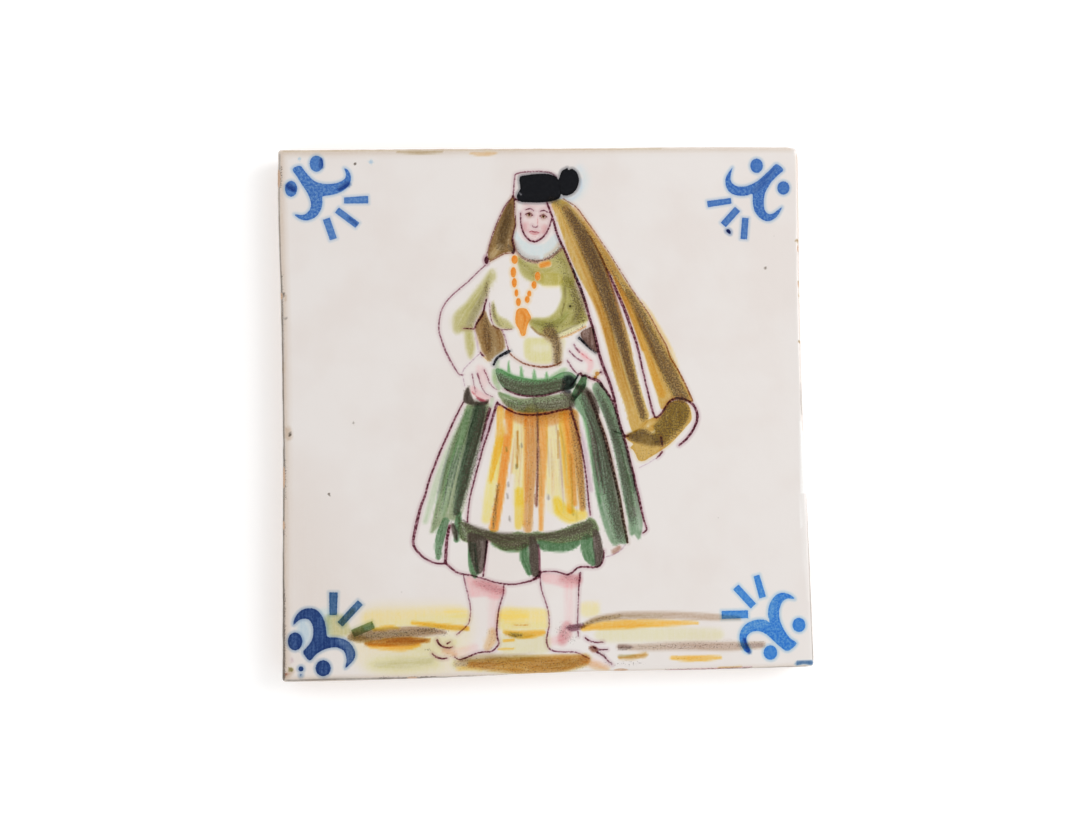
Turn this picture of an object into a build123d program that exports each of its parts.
from build123d import *
from math import radians, sqrt, tan
import os

# A hand-painted glazed wall tile, lying on its back with the picture up.
# X runs across the picture, Y up the picture, and Z out of the painted face.
# The origin is the middle of the tile's box, on the surface that it lies on.

# Driving dimensions, in millimetres and degrees
tile_width = 140.0  # between the corners, across the picture
tile_height = 140.0  # between the corners, up the picture
tile_thickness = 10.0  # fired clay with its glaze
side_draft = 3.0  # lean of the sides, so that the back is the smaller face
corner_radius = 1.2
worn_corner_radius = 1.8  # the corner at the top right of the picture
glaze_edge_radius = 1.0  # where the glaze rolls over the rim of the face
back_edge_radius = 0.5

# The sides were cut by hand. Each wave says how far the side stands out of the
# straight line between its corners, at these shares of the side's length.
# The shares run from the left to the right, or from the top to the bottom.
wave_places = (0.1, 0.3, 0.55, 0.8)
left_wave = (0.19, -0.37, -0.61, -0.25)
right_wave = (-0.20, -0.75, -0.82, -0.29)
top_wave = (0.0, 0.07, 0.0, 0.19)
bottom_wave = (0.20, 0.09, -0.37, 0.0)

# Chips knocked out of the rim: share of the side's length, chip length, chip depth
left_chips = ((0.055, 5.6, 0.35), (0.28, 1.8, 0.30), (0.62, 7.0, 0.22), (0.71, 2.6, 0.25))
right_chips = ((0.20, 2.4, 0.20), (0.27, 1.8, 0.20))
bottom_chips = ((0.24, 3.2, 0.22), (0.63, 4.5, 0.25))


def outline_sides(inset):
    """Return the left, right, top and bottom sides, moved in by inset."""
    half_width = tile_width / 2 - inset
    half_height = tile_height / 2 - inset
    left_points = []
    right_points = []
    top_points = []
    bottom_points = []
    for index, place in enumerate(wave_places):
        across = half_width * (2 * place - 1)
        down = half_height * (1 - 2 * place)
        left_points.append((-half_width - left_wave[index], down))
        right_points.append((half_width + right_wave[index], down))
        top_points.append((across, half_height + top_wave[index]))
        bottom_points.append((across, -half_height - bottom_wave[index]))
    top_left = (-half_width, half_height)
    top_right = (half_width, half_height)
    bottom_left = (-half_width, -half_height)
    bottom_right = (half_width, -half_height)
    left = Edge.make_spline([top_left, *left_points, bottom_left])
    right = Edge.make_spline([top_right, *right_points, bottom_right])
    top = Edge.make_spline([top_left, *top_points, top_right])
    bottom = Edge.make_spline([bottom_left, *bottom_points, bottom_right])
    return left, right, top, bottom


def chip_rim(side, outward, chips):
    """Scoop shallow chips out of the rim of the painted face along one side."""
    rolled_in = glaze_edge_radius * (sqrt(2) - 1)
    direction = (outward + Vector(0, 0, 1)).normalized()
    for place, chip_length, chip_depth in chips:
        cutter_radius = ((chip_length / 2) ** 2 + chip_depth**2) / (2 * chip_depth)
        reach = cutter_radius - chip_depth - rolled_in
        rim_point = side @ place + Vector(0, 0, tile_thickness)
        with Locations(rim_point + direction * reach):
            Sphere(cutter_radius, mode=Mode.SUBTRACT)


back_inset = tile_thickness * tan(radians(side_draft))
left_side, right_side, top_side, bottom_side = outline_sides(0)

with BuildPart() as tile:
    # The back is the smaller outline, and the face carries the full one
    with BuildSketch(Plane.XY):
        with BuildLine():
            add(outline_sides(back_inset))
        make_face()
    with BuildSketch(Plane.XY.offset(tile_thickness)):
        with BuildLine():
            add(outline_sides(0))
        make_face()
    loft(ruled=True)

    # The upright corners, with the worn one rounder than the others
    upright_edges = tile.edges().filter_by(lambda edge: edge.bounding_box().size.Z > tile_thickness / 2)
    worn_edge = upright_edges.sort_by(Axis((0, 0, 0), (1, 1, 0)))[-1]
    fillet([edge for edge in upright_edges if edge != worn_edge], corner_radius)
    worn_edge = tile.edges().filter_by(lambda edge: edge.bounding_box().size.Z > tile_thickness / 2)
    worn_edge = worn_edge.sort_by(Axis((0, 0, 0), (1, 1, 0)))[-1]
    fillet(worn_edge, worn_corner_radius)

    # The glaze rolls over the rim of the face, and the back's rim is a wiped edge
    fillet(tile.faces().sort_by(Axis.Z)[-1].edges(), glaze_edge_radius)
    fillet(tile.faces().sort_by(Axis.Z)[0].edges(), back_edge_radius)

    # Damage along the rim
    chip_rim(left_side, Vector(-1, 0, 0), left_chips)
    chip_rim(right_side, Vector(1, 0, 0), right_chips)
    chip_rim(bottom_side, Vector(0, -1, 0), bottom_chips)

# The waves make the box a little uneven, so the tile is set back over the origin
box_middle = tile.part.bounding_box().center()
tile.part = tile.part.moved(Location((-box_middle.X, -box_middle.Y, 0)))

tile.part.label = "tile"
os.makedirs("parts", exist_ok=True)
export_step(tile.part, "parts/tile.step")
